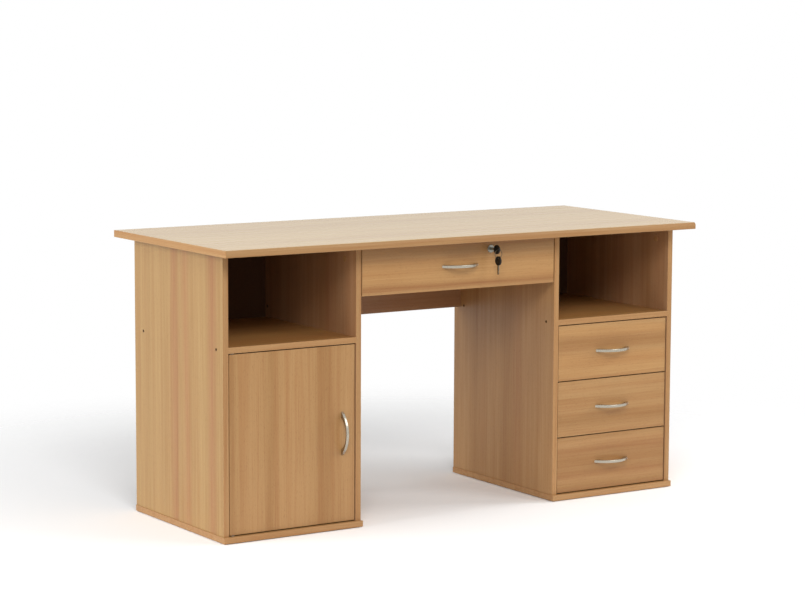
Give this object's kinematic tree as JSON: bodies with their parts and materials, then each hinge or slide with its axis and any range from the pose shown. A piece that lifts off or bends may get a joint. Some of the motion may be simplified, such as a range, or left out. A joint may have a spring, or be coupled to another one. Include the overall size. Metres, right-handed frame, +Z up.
{
  "type": "teacher desk",
  "caption": "Pedestal desk with a kneehole, open compartments, an inset cupboard door, inset drawers with bow handles, and a locking centre drawer with its keys.",
  "frame": {"origin": "on the floor, under the middle of the worktop", "axes": "+Z up, +X along the desk towards the drawer pedestal, -Y towards the sitter"},
  "size_m": [1.45, 0.6, 0.735],
  "materials": {
    "worktop_laminate": "satin beech-effect laminate",
    "worktop_edging": "satin beech-effect edging",
    "carcass_board": "satin beech-effect melamine",
    "front_board": "satin beech-effect melamine",
    "drawer_board": "satin foil",
    "back_panel": "matt lacquered hardboard",
    "satin_nickel": "satin nickel plate",
    "lock_nickel": "bright nickel plate",
    "zinc": "zinc plate",
    "bronzed_steel": "dark bronzed",
    "nylon": "natural nylon",
    "white_plastic": "moulded",
    "runner_plastic": "moulded",
    "key_black": "moulded black bow"
  },
  "bodies": {
    "carcass": {"worktop_board": "worktop_laminate", "worktop_edging": "worktop_edging", "left_outer_side": "carcass_board", "left_inner_side": "carcass_board", "left_shelf": "carcass_board", "left_base": "carcass_board", "left_back": "back_panel", "right_outer_side": "carcass_board", "right_inner_side": "carcass_board", "right_shelf": "carcass_board", "right_base": "carcass_board", "right_back": "back_panel", "back_rail": "carcass_board", "carcass_screws": "bronzed_steel", "worktop_cams": "zinc", "worktop_dowels": "zinc", "glides": "nylon", "door_pivot_bushes": "nylon", "magnetic_catch": "white_plastic", "lock_keeper": "zinc", "right_runners": "runner_plastic", "centre_runners": "runner_plastic", "runner_screws": "zinc"},
    "door": {"door_panel": "front_board", "door_handle": "satin_nickel", "door_handle_screws": "zinc", "door_pivot_pins": "zinc", "door_strike_plate": "zinc"},
    "upper_drawer": {"upper_drawer_front": "front_board", "upper_drawer_sides": "drawer_board", "upper_drawer_back": "drawer_board", "upper_drawer_bottom": "back_panel", "upper_drawer_handle": "satin_nickel", "upper_drawer_handle_screws": "zinc"},
    "middle_drawer": {"middle_drawer_front": "front_board", "middle_drawer_sides": "drawer_board", "middle_drawer_back": "drawer_board", "middle_drawer_bottom": "back_panel", "middle_drawer_handle": "satin_nickel", "middle_drawer_handle_screws": "zinc"},
    "lower_drawer": {"lower_drawer_front": "front_board", "lower_drawer_sides": "drawer_board", "lower_drawer_back": "drawer_board", "lower_drawer_bottom": "back_panel", "lower_drawer_handle": "satin_nickel", "lower_drawer_handle_screws": "zinc"},
    "centre_drawer": {"centre_drawer_front": "front_board", "centre_drawer_sides": "drawer_board", "centre_drawer_back": "drawer_board", "centre_drawer_bottom": "back_panel", "centre_drawer_handle": "satin_nickel", "centre_drawer_handle_screws": "zinc", "lock_body": "lock_nickel", "lock_screws": "zinc"},
    "lock_plug": {"lock_plug": "lock_nickel"},
    "lock_bolt": {"lock_bolt": "zinc"},
    "lock_key": {"lock_key": "key_black"},
    "key_ring": {"key_ring": "zinc"},
    "spare_key": {"spare_key": "key_black"}
  },
  "joints": [
    {"name": "door_swing", "type": "hinge", "parent": "carcass", "child": "door", "pos_m": [-0.67, -0.2255, 0.2455], "axis": [0, 0, -1], "range_deg": [0, 105]},
    {"name": "upper_drawer_slide", "type": "slide", "parent": "carcass", "child": "upper_drawer", "axis": [0, -1, 0], "range_m": [0, 0.3]},
    {"name": "middle_drawer_slide", "type": "slide", "parent": "carcass", "child": "middle_drawer", "axis": [0, -1, 0], "range_m": [0, 0.3]},
    {"name": "lower_drawer_slide", "type": "slide", "parent": "carcass", "child": "lower_drawer", "axis": [0, -1, 0], "range_m": [0, 0.3]},
    {"name": "centre_drawer_slide", "type": "slide", "parent": "carcass", "child": "centre_drawer", "axis": [0, -1, 0], "range_m": [0, 0.3]},
    {"name": "lock_turn", "type": "hinge", "parent": "centre_drawer", "child": "lock_plug", "pos_m": [0.095, -0.235, 0.6915], "axis": [0, 1, 0], "range_deg": [0, 90]},
    {"name": "bolt_lift", "type": "slide", "parent": "centre_drawer", "child": "lock_bolt", "axis": [0, 0, 1], "range_m": [0, 0.00778]},
    {"name": "key_pull", "type": "slide", "parent": "lock_plug", "child": "lock_key", "axis": [0, -1, 0], "range_m": [0, 0.026]},
    {"name": "key_ring_swing", "type": "hinge", "parent": "lock_key", "child": "key_ring", "pos_m": [0.095, -0.27, 0.6915], "axis": [0, 1, 0], "range_deg": [-24, 24]},
    {"name": "spare_key_swing", "type": "hinge", "parent": "key_ring", "child": "spare_key", "pos_m": [0.095, -0.27, 0.6695], "axis": [1, 0, 0], "range_deg": [-60, 20]}
  ],
  "couplings": [
    {"joint": "bolt_lift", "follows": "lock_turn", "m_per_rad": 0.0049517}
  ]
}
